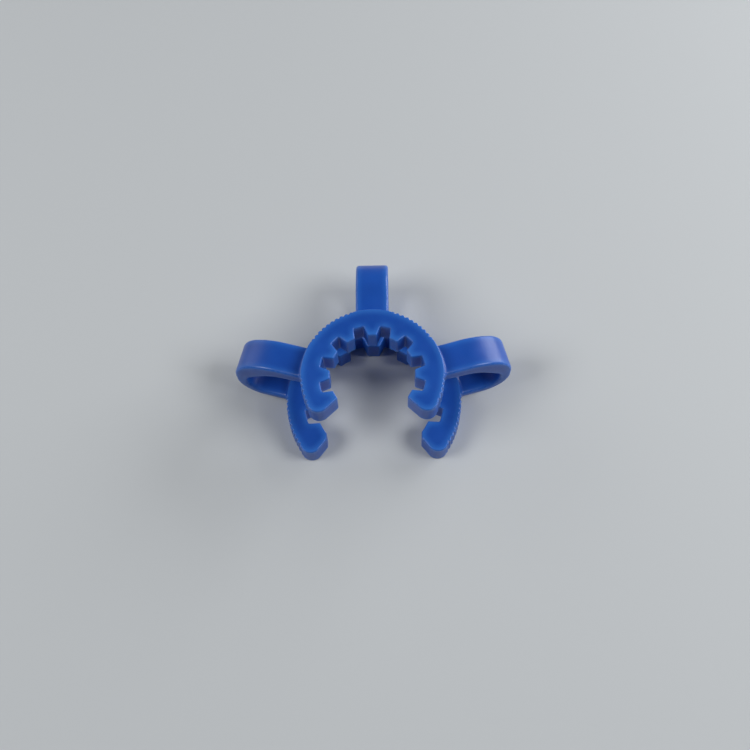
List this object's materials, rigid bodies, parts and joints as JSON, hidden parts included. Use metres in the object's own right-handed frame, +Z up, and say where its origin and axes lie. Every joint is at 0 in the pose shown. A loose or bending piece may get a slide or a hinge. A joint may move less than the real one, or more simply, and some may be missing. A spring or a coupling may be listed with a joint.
{
  "type": "ground glass joint clip",
  "caption": "One-piece moulded plastic clip for a conical ground glass joint: a small and a large toothed C-ring held apart by sprung side loops.",
  "frame": {"origin": "on the common axis of both rings, at the bottom face of the large ring", "axes": "+Z up the joint's axis from the large ring to the small ring, -Y out of the mouths of both rings, +X to the right seen from the mouth side"},
  "size_m": [0.0542, 0.0383, 0.0178],
  "materials": {
    "body": "satin moulded blue acetal, solid colour"
  },
  "bodies": {
    "root": {"joint_clip": "body"}
  },
  "joints": []
}
